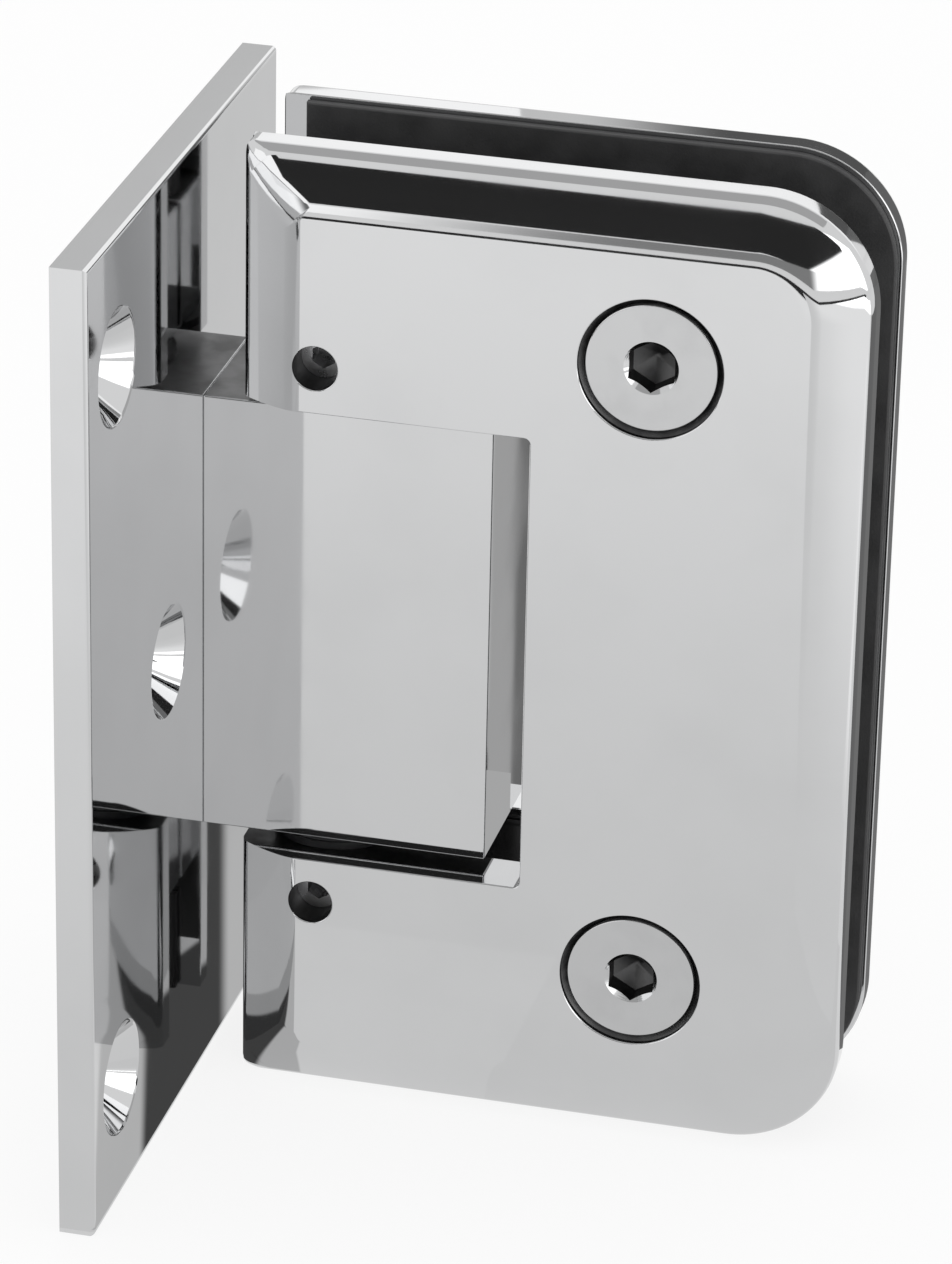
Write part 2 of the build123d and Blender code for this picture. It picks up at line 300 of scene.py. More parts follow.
def bevel_edges(piece, test, width, segments):
    pick(piece, edges=test)
    bpy.ops.mesh.bevel(offset=width, segments=segments, affect="EDGES", profile=0.5)
    bpy.ops.object.mode_set(mode="OBJECT")


def join_or_cut(piece, tools, operation):
    for tool in tools:
        modifier = piece.modifiers.new("shape", "BOOLEAN")
        modifier.operation = operation
        modifier.solver = "EXACT"
        modifier.object = tool
        activate(piece)
        bpy.ops.object.modifier_apply(modifier=modifier.name)
        bpy.data.objects.remove(tool)
        if not piece.data.polygons:
            raise RuntimeError(f"nothing is left of {piece.name}")


def beside_flat(edge):
    """Whether an edge parts a large flat from a fine rounding."""
    if len(edge.link_faces) != 2:
        return False
    least_ratio, least_turn = 6, math.radians(4)
    small, large = sorted(face.calc_area() for face in edge.link_faces)
    return large > least_ratio * small and edge.calc_face_angle(0.0) > least_turn


def finish_surface(piece, part_flats=False):
    """Merges doubles, shades smooth over the fine roundings and keeps flats flat.

    With part_flats, large flats are shaded apart from their roundings, so they mirror true.
    """
    edit_all(piece)
    bpy.ops.mesh.remove_doubles(threshold=MERGE)
    bpy.ops.mesh.normals_make_consistent(inside=False)
    bpy.ops.object.mode_set(mode="OBJECT")
    bpy.ops.object.shade_smooth_by_angle(angle=SMOOTH_UNDER)
    if part_flats:
        pick(piece, edges=beside_flat)
        bpy.ops.mesh.mark_sharp()
        bpy.ops.object.mode_set(mode="OBJECT")
    modifier = piece.modifiers.new("flat faces", "WEIGHTED_NORMAL")
    modifier.mode = "FACE_AREA"
    modifier.keep_sharp = True
    bpy.ops.object.modifier_apply(modifier=modifier.name)


def ends(edge):
    return [vertex.co for vertex in edge.verts]


def near(a, b):
    return abs(a - b) < TOUCH


def runs_along_y(edge, x):
    """Whether an edge runs along Y at the given X."""
    first, second = ends(edge)
    return near(first.x, x) and near(second.x, x) and near(first.z, second.z)


def add_painted_shade(piece, material, test):
    """A second material, painted shade, on the faces whose middle and normal pass the test."""
    piece.data.materials.append(material)
    index = len(piece.data.materials) - 1
    for face in piece.data.polygons:
        if test(face.center, face.normal):
            face.material_index = index


def off_axis(point, x, z):
    """A point's distance from an axis along Y."""
    return math.hypot(point.x - x, point.z - z)


def place_piece(piece, material, body, nodes):
    piece.data.materials.clear()
    piece.data.materials.append(material)
    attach(piece, body)
    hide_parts(*nodes)


# Clamp plates

def crowned_steps(sizes, count=6):
    """The insets, as (width, depth), that shape a bevel bulging slightly from edge to face."""
    chord = math.hypot(sizes.bevel_width, sizes.bevel_depth)
    slope = math.atan2(sizes.bevel_depth, sizes.bevel_width)
    radius = chord / (2 * math.sin(sizes.crown))
    points = []
    for step in range(count + 1):
        turn = sizes.crown * (1 - 2 * step / count)
        along = radius * (math.sin(sizes.crown) - math.sin(turn))
        rise = radius * (math.cos(turn) - math.cos(sizes.crown))
        points.append(Vector((
            along * math.cos(slope) - rise * math.sin(slope),
            along * math.sin(slope) + rise * math.cos(slope))))
    return [after - before for before, after in zip(points, points[1:])]


def bevelled_blank(name, sizes):
    """A front plate before its notch: rounded free corners, a bevel all round, soft edges."""
    edge_y = FRONT_LOW.y + sizes.bevel_depth
    inner_y = FRONT_LOW.y + sizes.plate_thickness
    low = (FRONT_LOW.x, edge_y, FRONT_LOW.z)
    high = (FRONT_HIGH.x, inner_y, FRONT_HIGH.z)
    blank = new_block(name, low, high)
    bevel_edges(blank, lambda edge: runs_along_y(edge, FRONT_HIGH.x), sizes.corner_radius, segments=24)
    pick(blank, faces=lambda face: face.normal.y < -FACING)
    for width, depth in crowned_steps(sizes):
        bpy.ops.mesh.inset(thickness=width, depth=depth)
    bpy.ops.object.mode_set(mode="OBJECT")

    def setback(edge):
        """How far an edge's rounding reaches, by where the edge lies."""
        first, second = ends(edge)
        on_edge = [near(point.y, edge_y) for point in (first, second)]
        on_inner = [near(point.y, inner_y) for point in (first, second)]
        on_mitre = [near(FRONT_HIGH.z - abs(point.z), point.x - FRONT_LOW.x) for point in (first, second)]
        if near(first.y, FRONT_LOW.y) and near(second.y, FRONT_LOW.y):
            return sizes.face_round
        if all(on_edge):
            return sizes.edge_round
        if all(on_inner):
            return sizes.rim
        if all(on_mitre) and not any(on_inner) and not near(first.y, second.y):
            return sizes.mitre_round
        if near(first.x, FRONT_LOW.x) and near(second.x, FRONT_LOW.x) and any(on_edge):
            return sizes.side_round
        return 0.0
    activate(blank)
    bpy.ops.object.mode_set(mode="EDIT")
    shape = bmesh.from_edit_mesh(blank.data)
    layer = shape.edges.layers.float.new("bevel_weight_edge")
    for edge in shape.edges:
        edge[layer] = setback(edge) / MM
    bmesh.update_edit_mesh(blank.data)
    bpy.ops.object.mode_set(mode="OBJECT")
    modifier = blank.modifiers.new("soft edges", "BEVEL")
    modifier.limit_method = "WEIGHT"
    modifier.width = MM
    modifier.segments = 6
    modifier.use_clamp_overlap = False
    bpy.ops.object.modifier_apply(modifier=modifier.name)
    return blank


def notch_cutter(sizes):
    """A block with rounded inner corners that runs right through the plate."""
    low = (FRONT_LOW.x - OVERCUT, FRONT_LOW.y - OVERCUT, -sizes.notch_half)
    high = (sizes.notch_end, -FRONT_LOW.y, sizes.notch_half)
    cutter = new_block("notch", low, high)
    bevel_edges(cutter, lambda edge: runs_along_y(edge, sizes.notch_end), sizes.notch_corner, segments=6)
    return cutter


def soften_cuts(piece, face_y, outward, width):
    """A fine rounding where cuts run out on a plate's outer face."""
    def rim(edge):
        if len(edge.link_faces) != 2 or not all(near(point.y, face_y) for point in ends(edge)):
            return False
        flat = [face.normal.y * outward > FACING for face in edge.link_faces]
        return flat[0] != flat[1] and edge.calc_face_angle(0.0) > math.radians(60)
    bevel_edges(piece, rim, width, segments=3)


class HINGE_OT_clamp_plates(bpy.types.Operator):
    """Models the front plate with its ears and the rear plate with its pillars"""

    bl_idname = "hinge.clamp_plates"
    bl_label = "Clamp plates"

    def execute(self, context):
        sizes, screws = context.scene.hinge_clamp, context.scene.hinge_screws
        front = bevelled_blank("front_clamp_plate", sizes)
        rear = copied(front, "rear_clamp_plate")
        bpy.ops.transform.mirror(constraint_axis=(False, True, False), center_override=(0, 0, 0))
        bpy.ops.mesh.normals_make_consistent(inside=False)
        bpy.ops.object.mode_set(mode="OBJECT")
        self.shape_front(front, sizes, screws)
        self.shape_rear(rear, sizes)
        chrome = finishes()["polished_chrome"]
        place_piece(front, chrome, "door_side", ["front_plate"])
        # Painted shade: the seat rings round the clamp screws and the lock screws' holes get a dark, dull
        # plating colour.
        add_painted_shade(front, recess_painted_shade(), lambda point, normal: self.in_recess(point, screws))
        place_piece(rear, chrome, "door_side", ["rear_plate"])
        return {"FINISHED"}

    def in_recess(self, point, screws):
        """Whether a point lies in a clamp screw's seat, or in a lock screw's hole before the pin."""
        seat = screws.head_radius + screws.ring_gap - TOUCH
        if off_axis(point, SCREW_X, math.copysign(SCREW_Z, point.z)) < seat:
            return True
        before_pin = point.y < PIN_LOW.y + 0.5 * MM
        hole = off_axis(point, PIN_X, math.copysign(screws.lock_height, point.z))
        return hole < screws.lock_bore and before_pin

    def shape_front(self, plate, sizes, screws):
        face_y, inner_y = FRONT_LOW.y, FRONT_LOW.y + sizes.plate_thickness
        ears = []
        for side in (1, -1):
            low_z, high_z = sorted((
                side * (sizes.notch_half - OVERCUT), side * (sizes.notch_half + sizes.ear_height)))
            ear = new_block(
                "ear", (PIN_X - sizes.ear_width / 2, inner_y - sizes.ear_root, low_z),
                (PIN_X + sizes.ear_width / 2, FRONT_HIGH.y, high_z))
            bevel_edges(
                ear, lambda edge: any(near(point.y, FRONT_HIGH.y) for point in ends(edge)),
                sizes.ear_round, segments=3)
            ears.append(ear)
        join_or_cut(plate, ears, "UNION")
        hole = screws.shank_radius + screws.shank_clearance
        wide = screws.head_radius + screws.ring_gap
        seat_y = face_y + screws.head_recess + screws.head_rim - screws.ring_gap + SEAT_GAP
        bore_from = sizes.notch_half - 2 * OVERCUT
        bore_to = sizes.notch_half + sizes.ear_height + 2 * OVERCUT
        cutters = [notch_cutter(sizes)]
        for side in (1, -1):
            cutters.append(new_turned(
                "pin_bore", "Z", (PIN_X, 0, 0),
                [(side * bore_from, sizes.pin_bore), (side * bore_to, sizes.pin_bore)]))
            cutters.append(new_turned(
                "lock_bore", "Y", (PIN_X, 0, side * screws.lock_height),
                [(face_y - OVERCUT, screws.lock_bore), (0.0, screws.lock_bore)], sides=48))
            cutters.append(new_turned(
                "head_seat", "Y", (SCREW_X, 0, side * SCREW_Z),
                [(face_y - OVERCUT, wide), (seat_y, wide),
                 (seat_y + wide - hole, hole), (inner_y + OVERCUT, hole)]))
        join_or_cut(plate, cutters, "DIFFERENCE")
        soften_cuts(plate, face_y, -1, sizes.rim)
        finish_surface(plate)

    def shape_rear(self, plate, sizes):
        outer_y = REAR_HIGH.y
        inner_y = outer_y - sizes.plate_thickness
        pillars = []
        for side in (1, -1):
            pillars.append(new_turned(
                "pillar", "Y", (SCREW_X, 0, side * SCREW_Z),
                [(inner_y + OVERCUT, sizes.pillar_radius),
                 (REAR_LOW.y + sizes.pillar_chamfer, sizes.pillar_radius),
                 (REAR_LOW.y, sizes.pillar_radius - sizes.pillar_chamfer)], sides=64))
        join_or_cut(plate, pillars, "UNION")
        cutters = [notch_cutter(sizes)]
        for side in (1, -1):
            cutters.append(new_turned(
                "thread_bore", "Y", (SCREW_X, 0, side * SCREW_Z),
                [(REAR_LOW.y - OVERCUT, sizes.thread_radius),
                 (REAR_LOW.y + sizes.thread_depth, sizes.thread_radius)], sides=48))
        join_or_cut(plate, cutters, "DIFFERENCE")
        soften_cuts(plate, outer_y, 1, sizes.rim)
        finish_surface(plate)


class HINGE_OT_wall_plate(bpy.types.Operator):
    """Models the wall plate with its countersunk holes"""

    bl_idname = "hinge.wall_plate"
    bl_label = "Wall plate"

    def execute(self, context):
        sizes, block = context.scene.hinge_wall, context.scene.hinge_block
        face_x = WALL_HIGH.x
        plate = new_block("wall_mounting_plate", WALL_LOW, WALL_HIGH)

        def on_face(edge):
            return all(near(point.x, face_x) for point in ends(edge))
        bevel_edges(plate, on_face, sizes.edge_round, segments=5)
        outer_y = WALL_LOW.y + sizes.outer_from_side
        places = [
            (outer_y, WALL_HIGH.z - sizes.outer_from_end),
            (outer_y, WALL_LOW.z + sizes.outer_from_end),
            (WALL_LOW.y + sizes.middle_from_side, 0.0),
        ]
        straight_to = face_x - (sizes.head_radius - sizes.hole_radius)
        cutters = []
        for y, z in places:
            cutters.append(new_turned(
                "screw_hole", "X", (0, y, z),
                [(-OVERCUT, sizes.hole_radius), (straight_to, sizes.hole_radius),
                 (face_x, sizes.head_radius), (face_x + OVERCUT, sizes.head_radius + OVERCUT)]))
        for side in (1, -1):
            cutters.append(new_turned(
                "block_screw_hole", "X", (0, 0, side * block.screw_height),
                [(-OVERCUT, sizes.block_seat_radius + OVERCUT),
                 (sizes.block_seat_depth, sizes.block_hole_radius),
                 (face_x + OVERCUT, sizes.block_hole_radius)], sides=64))
        join_or_cut(plate, cutters, "DIFFERENCE")

        def countersink_rim(edge):
            return on_face(edge) and edge.calc_face_angle(0.0) > math.radians(40)
        bevel_edges(plate, countersink_rim, sizes.rim, segments=3)
        finish_surface(plate, part_flats=True)
        place_piece(plate, finishes()["polished_chrome"], "wall_side", ["wall_plate"])
        return {"FINISHED"}


class HINGE_OT_pivot_block(bpy.types.Operator):
    """Models the pivot block with its bores"""

    bl_idname = "hinge.pivot_block"
    bl_label = "Pivot block"

    def execute(self, context):
        sizes = context.scene.hinge_block
        block = new_block("pivot_body", BLOCK_LOW, BLOCK_HIGH)

        def at_foot(edge):
            return all(near(point.x, BLOCK_LOW.x) for point in ends(edge))
        bevel_edges(block, lambda edge: not at_foot(edge), sizes.edge_round, segments=5)
        bevel_edges(block, at_foot, sizes.foot_round, segments=3)
        cutters = [new_turned(
            "bush_bore", "Z", (PIN_X, 0, 0),
            [(BLOCK_LOW.z - OVERCUT, sizes.bush_bore), (BLOCK_HIGH.z + OVERCUT, sizes.bush_bore)])]
        for side in (1, -1):
            cutters.append(new_turned(
                "plunger_bore", "X", (0, 0, side * sizes.plunger_height),
                [(BLOCK_LOW.x - OVERCUT, sizes.plunger_bore), (sizes.plunger_end, sizes.plunger_bore)],
                sides=48))
            cutters.append(new_turned(
                "screw_bore", "X", (0, 0, side * sizes.screw_height),
                [(BLOCK_LOW.x - OVERCUT, sizes.screw_bore), (sizes.screw_end, sizes.screw_bore)], sides=48))
        join_or_cut(block, cutters, "DIFFERENCE")
        finish_surface(block, part_flats=True)
        place_piece(block, finishes()["polished_chrome"], "wall_side", ["pivot_block"])
        # Painted shade: the block's top and bottom, which lie under the ears, get a darker plating colour.
        add_painted_shade(block, block_end_painted_shade(), lambda point, normal: abs(normal.z) > FACING)
        return {"FINISHED"}


class HINGE_OT_clamp_screws(bpy.types.Operator):
    """Models a flush socket screw and copies it for the lower hole"""

    bl_idname = "hinge.clamp_screws"
    bl_label = "Clamp screws"

    def execute(self, context):
        sizes = context.scene.hinge_screws
        head_y = FRONT_LOW.y + sizes.head_recess
        rim_y = head_y + sizes.head_rim
        tip_y = head_y + sizes.screw_length
        socket_y = head_y + sizes.socket_depth
        centre = (SCREW_X, 0, SCREW_Z)
        soft = sizes.head_round
        upper = new_turned("clamp_bolt_upper", "Y", centre, [
            (head_y, sizes.head_radius - soft), (head_y + soft * 0.3, sizes.head_radius - soft * 0.3),
            (head_y + soft, sizes.head_radius), (rim_y, sizes.head_radius),
            (rim_y + sizes.head_radius - sizes.shank_radius, sizes.shank_radius),
            (tip_y - sizes.tip_chamfer, sizes.shank_radius),
            (tip_y, sizes.shank_radius - sizes.tip_chamfer)])
        socket_radius = sizes.socket_width / 2 / math.cos(math.pi / 6)
        socket = new_turned("socket", "Y", centre, [
            (head_y - OVERCUT, socket_radius), (socket_y, socket_radius),
            (socket_y + sizes.socket_point, sizes.point_radius)], sides=6)
        mouth_radius = socket_radius + sizes.mouth_flare
        mouth = new_turned("mouth", "Y", centre, [
            (head_y - OVERCUT, mouth_radius + OVERCUT), (head_y + OVERCUT, mouth_radius - OVERCUT)], sides=64)
        join_or_cut(upper, [socket, mouth], "DIFFERENCE")
        finish_surface(upper)
        lower = copied(upper, "clamp_bolt_lower")
        bpy.ops.transform.translate(value=(0, 0, -2 * SCREW_Z))
        bpy.ops.object.mode_set(mode="OBJECT")

        # Painted shade goes on the socket's walls, below its mouth and down to its point.
        def in_socket(point, normal):
            below_mouth, past_point = head_y + 0.3 * MM, socket_y + MM
            inside = off_axis(point, SCREW_X, math.copysign(SCREW_Z, point.z)) < socket_radius - 0.1 * MM
            return inside and below_mouth < point.y < past_point
        chrome = finishes()["screw_chrome"]
        for screw, node in ((upper, "clamp_screw_upper"), (lower, "clamp_screw_lower")):
            place_piece(screw, chrome, "door_side", [node])
            add_painted_shade(screw, recess_painted_shade(), in_socket)
        return {"FINISHED"}


class HINGE_OT_gaskets(bpy.types.Operator):
    """Copies the rubber sheets and softens their cut edges"""

    bl_idname = "hinge.gaskets"
    bl_label = "Gaskets"

    def execute(self, context):
        def cut_edge(edge):
            first, second = ends(edge)
            return edge.calc_face_angle(0.0) > math.radians(80) and near(first.y, second.y)
        for node, name in (("front_gasket", "front_rubber"), ("rear_gasket", "rear_rubber")):
            sheet = copied(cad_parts[node], name)
            for key in [key for key in sheet.keys() if key.startswith("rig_")]:
                del sheet[key]
            sheet.parent = None
            bpy.ops.mesh.remove_doubles(threshold=MERGE)
            bpy.ops.mesh.dissolve_limited(angle_limit=math.radians(1.0))
            bpy.ops.object.mode_set(mode="OBJECT")
            bevel_edges(sheet, cut_edge, GASKET_ROUND, segments=3)
            finish_surface(sheet)
            place_piece(sheet, finishes()["gasket_rubber"], "door_side", [node])
        return {"FINISHED"}


# The finish of each piece inside that comes in an upper and a lower copy
PAIR_FINISHES = {
    "block_screw": "screw_steel",
    "pin_lock_screw": "screw_steel",
    "plunger": "pin_steel",
    "plunger_spring": "spring_steel",
    "pin_bush": "bush_nylon",
    "glass_sleeve": "bush_nylon",
}


class HINGE_OT_inner_pieces(bpy.types.Operator):
    """Gives the pin, bushes, springs and small screws their finishes"""

    bl_idname = "hinge.inner_pieces"
    bl_label = "Inner pieces"

    def execute(self, context):
        inner = {"pivot_pin": "pin_steel"}
        for name, finish in PAIR_FINISHES.items():
            inner[name + "_upper"] = inner[name + "_lower"] = finish
        for node, finish in inner.items():
            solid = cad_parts[node]
            solid.data.materials.clear()
            solid.data.materials.append(finishes()[finish])
        return {"FINISHED"}


# Finishes

MARK_INPUTS = {
    "Clean Roughness": 0.04,
    "Marked Roughness": 0.1,
    "Mark Size": 0.01,
    "Wave Size": 0.015,
    "Wave Height": 0.0,
    "Grain Size": 0.0004,
    "Grain Height": 0.0,
}


def add_node(tree, kind, inputs=None, **settings):
    node = tree.nodes.new(kind)
    for name, value in settings.items():
        setattr(node, name, value)
    for name, value in (inputs or {}).items():
        if isinstance(value, bpy.types.NodeSocket):
            tree.links.new(value, node.inputs[name])
        else:
            node.inputs[name].default_value = value
    return node


def surface_marks():
    """A group with handling marks: it varies a finish's roughness and gives it a faint wave."""
    found = bpy.data.node_groups.get("surface_marks")
    if found:
        return found
    tree = bpy.data.node_groups.new("surface_marks", "ShaderNodeTree")
    for name, default in MARK_INPUTS.items():
        socket = tree.interface.new_socket(name=name, in_out="INPUT", socket_type="NodeSocketFloat")
        socket.default_value = default
    for name, kind in (("Mask", "Float"), ("Roughness", "Float"), ("Normal", "Vector")):
        tree.interface.new_socket(name=name, in_out="OUTPUT", socket_type="NodeSocket" + kind)
    given = add_node(tree, "NodeGroupInput").outputs
    place = add_node(tree, "ShaderNodeTexCoord").outputs["Object"]

    def noise(size, detail):
        scale = add_node(tree, "ShaderNodeMath", {0: 1.0, 1: given[size]}, operation="DIVIDE")
        return add_node(
            tree, "ShaderNodeTexNoise",
            {"Vector": place, "Scale": scale.outputs[0], "Detail": detail}).outputs["Fac"]
    mask = add_node(tree, "ShaderNodeMapRange", {
        "Value": noise("Mark Size", 5.0), "From Min": 0.42, "From Max": 0.68}).outputs["Result"]
    roughness = add_node(tree, "ShaderNodeMapRange", {
        "Value": mask, "To Min": given["Clean Roughness"],
        "To Max": given["Marked Roughness"]}).outputs["Result"]
    wave = add_node(tree, "ShaderNodeBump", {
        "Height": noise("Wave Size", 1.0), "Distance": given["Wave Height"], "Strength": 1.0})
    grain = add_node(tree, "ShaderNodeBump", {
        "Height": noise("Grain Size", 3.0), "Distance": given["Grain Height"], "Strength": 1.0,
        "Normal": wave.outputs["Normal"]})
    add_node(tree, "NodeGroupOutput", {
        "Mask": mask, "Roughness": roughness, "Normal": grain.outputs["Normal"]})
    return tree


COLOUR_A, COLOUR_B, COLOUR_RESULT = 6, 7, 2     # a Mix node's sockets for colours


def marked_material(name, colour, marked_colour, metallic, marks, turned=None):
    """A Principled material whose roughness, tint and fine shape come from the marks group."""
    found = bpy.data.materials.get(name)
    if found:
        return found
    material = bpy.data.materials.new(name)
    material.use_nodes = True
    tree = material.node_tree
    shader = tree.nodes["Principled BSDF"]
    group = add_node(tree, "ShaderNodeGroup", node_tree=surface_marks())
    for key, value in marks.items():
        group.inputs[key].default_value = value
    tint = add_node(tree, "ShaderNodeMix", data_type="RGBA")
    tree.links.new(group.outputs["Mask"], tint.inputs["Factor"])
    tint.inputs[COLOUR_A].default_value = (*colour, 1.0)
    tint.inputs[COLOUR_B].default_value = (*marked_colour, 1.0)
    tree.links.new(tint.outputs[COLOUR_RESULT], shader.inputs["Base Color"])
    tree.links.new(group.outputs["Roughness"], shader.inputs["Roughness"])
    shader.inputs["Metallic"].default_value = metallic
    normal = group.outputs["Normal"]
    if turned:
        normal = turned_rings(tree, normal, **turned)
    tree.links.new(normal, shader.inputs["Normal"])
    return material


def turned_rings(tree, normal, centre, pitch, height):
    """Fine rings round two points that mirror each other in Z, as a lathe leaves them."""
    place = add_node(tree, "ShaderNodeTexCoord").outputs["Object"]
    folded = add_node(tree, "ShaderNodeVectorMath", {0: place}, operation="ABSOLUTE")
    centred = add_node(tree, "ShaderNodeMapping", {
        "Vector": folded.outputs["Vector"], "Location": (-centre[0], 0.0, -centre[1]),
        "Scale": (1.0, 0.0, 1.0)})
    far = add_node(tree, "ShaderNodeVectorMath", {0: centred.outputs["Vector"]}, operation="LENGTH")
    turns = 2 * math.pi / pitch
    rings = add_node(tree, "ShaderNodeMath", {0: far.outputs["Value"], 1: turns}, operation="MULTIPLY")
    wave = add_node(tree, "ShaderNodeMath", {0: rings.outputs[0]}, operation="SINE")
    bump = add_node(tree, "ShaderNodeBump", {
        "Height": wave.outputs[0], "Distance": height, "Strength": 1.0, "Normal": normal})
    return bump.outputs["Normal"]


def recess_painted_shade():
    """Painted shade deep in a hole or groove, where shade falls: a dark, dull copy of the plating."""
    return marked_material(
        "dark_recess_painted_shade", (0.075, 0.075, 0.076), (0.11, 0.11, 0.11), 1.0,
        {"Clean Roughness": 0.34, "Marked Roughness": 0.5, "Mark Size": 0.0015})


def block_end_painted_shade():
    """Painted shade on the block's ends, under the ears: a darker, duller plating colour, with a fine
    machining grain as bumps.
    """
    return marked_material(
        "block_ends_painted_shade", (0.22, 0.22, 0.222), (0.17, 0.17, 0.17), 1.0,
        {"Clean Roughness": 0.4, "Marked Roughness": 0.5, "Mark Size": 0.003,
         "Grain Size": 0.0001, "Grain Height": 0.000002})


def finishes():
    """The materials by the record's slot names."""
    chrome = bpy.context.scene.hinge_chrome
    colour = tuple(chrome.colour)
    return {
        "polished_chrome": marked_material(
            "mirror_chrome", colour, tuple(0.97 * c for c in colour), 1.0,
            {"Clean Roughness": chrome.gloss, "Marked Roughness": chrome.gloss + 0.035,
             "Mark Size": 0.012, "Wave Size": 0.018, "Wave Height": 0.000012}),
        "screw_chrome": marked_material(
            "turned_chrome", tuple(0.88 * c for c in colour), tuple(0.83 * c for c in colour), 1.0,
            {"Clean Roughness": 0.09, "Marked Roughness": 0.15, "Mark Size": 0.004,
             "Wave Size": 0.006, "Wave Height": 0.000004},
            turned={"centre": (SCREW_X, SCREW_Z), "pitch": 0.00016, "height": 0.0000006}),
        "screw_steel": marked_material(
            "zinc_steel", (0.46, 0.46, 0.47), (0.34, 0.34, 0.34), 1.0,
            {"Clean Roughness": 0.26, "Marked Roughness": 0.42, "Mark Size": 0.0016,
             "Grain Size": 0.0001, "Grain Height": 0.000006}),
        "pin_steel": marked_material(
            "ground_steel", (0.58, 0.58, 0.58), (0.48, 0.48, 0.48), 1.0,
            {"Clean Roughness": 0.16, "Marked Roughness": 0.28, "Mark Size": 0.002,
             "Grain Size": 0.00008, "Grain Height": 0.000003}),
        "spring_steel": marked_material(
            "drawn_wire", (0.42, 0.42, 0.43), (0.30, 0.29, 0.28), 1.0,
            {"Clean Roughness": 0.24, "Marked Roughness": 0.38, "Mark Size": 0.001,
             "Grain Size": 0.00008, "Grain Height": 0.000003}),
        "bush_nylon": marked_material(
            "moulded_nylon", (0.045, 0.045, 0.047), (0.06, 0.06, 0.062), 0.0,
            {"Clean Roughness": 0.38, "Marked Roughness": 0.52, "Mark Size": 0.003,
             "Grain Size": 0.0002, "Grain Height": 0.000004}),
        "gasket_rubber": marked_material(
            "matt_rubber", (0.035, 0.035, 0.036), (0.05, 0.05, 0.051), 0.0,
            {"Clean Roughness": 0.52, "Marked Roughness": 0.7, "Mark Size": 0.004,
             "Grain Size": 0.00025, "Grain Height": 0.00002}),
    }


# Stage

CAMERA_TARGET = Vector((26.32, 0.0, -1.98)) * MM
CAMERA_AZIMUTH = 13.70          # degrees from straight ahead towards +X
CAMERA_ELEVATION = 25.16
CAMERA_ROLL = 1.22
CAMERA_DISTANCE = 542.06 * MM
CAMERA_LENS = 231.2             # millimetres, for the sensor below
SENSOR_WIDTH = 36.0


def towards(azimuth, elevation):
    """A direction by its azimuth from -Y towards +X and its elevation, in degrees."""
    a, e = math.radians(azimuth), math.radians(elevation)
    return Vector((math.sin(a) * math.cos(e), -math.cos(a) * math.cos(e), math.sin(e)))


def facing(place, target):
    """The turn that points an object's -Z axis at a target."""
    return (target - place).to_track_quat("-Z", "Y").to_euler()


def seen_by_mirrors(tree):
    """1 for camera, glossy and transmission rays, 0 for the rest."""
    path = add_node(tree, "ShaderNodeLightPath").outputs
    seen = add_node(
        tree, "ShaderNodeMath", {0: path["Is Camera Ray"], 1: path["Is Glossy Ray"]}, operation="ADD")
    seen = add_node(
        tree, "ShaderNodeMath", {0: seen.outputs[0], 1: path["Is Transmission Ray"]},
        operation="ADD", use_clamp=True)
    return seen.outputs[0]


def changing_tone(tree, tone, along, changes):
    """A strength that changes at each (start, end, next tone) along a direction, in metres."""
    place = add_node(tree, "ShaderNodeTexCoord").outputs["Object"]
    far = add_node(
        tree, "ShaderNodeVectorMath", {0: place, 1: along}, operation="DOT_PRODUCT").outputs["Value"]
    for start, end, next_tone in changes:
        past = add_node(
            tree, "ShaderNodeMapRange", {"Value": far, "From Min": start, "From Max": end},
            interpolation_type="SMOOTHSTEP").outputs["Result"]
        tone = add_node(
            tree, "ShaderNodeMix", {"A": tone, "B": next_tone, "Factor": past},
            data_type="FLOAT").outputs["Result"]
    return tone


class Card(NamedTuple):
    """A plain glowing card that only mirrors see, in metres. Without an aim it lies flat.

    Its tone changes along a direction, as changing_tone says.
    """

    name: str
    middle: Vector
    size: tuple
    tone: float
    aim: Vector = None
    roll: float = 0.0
    along: tuple = (1.0, 0.0, 0.0)
    changes: tuple = ()


BEVEL_MIDDLE = Vector((0.034, -0.009, 0.042))
CORNER = Vector((0.058, -0.0085, 0.04))
FLOOR_Z = cad_bounds[0][2]
FLOOR_GAP = 0.05 * MM           # the floor lies this far below the part
FLOOR_SIZE = 6.0

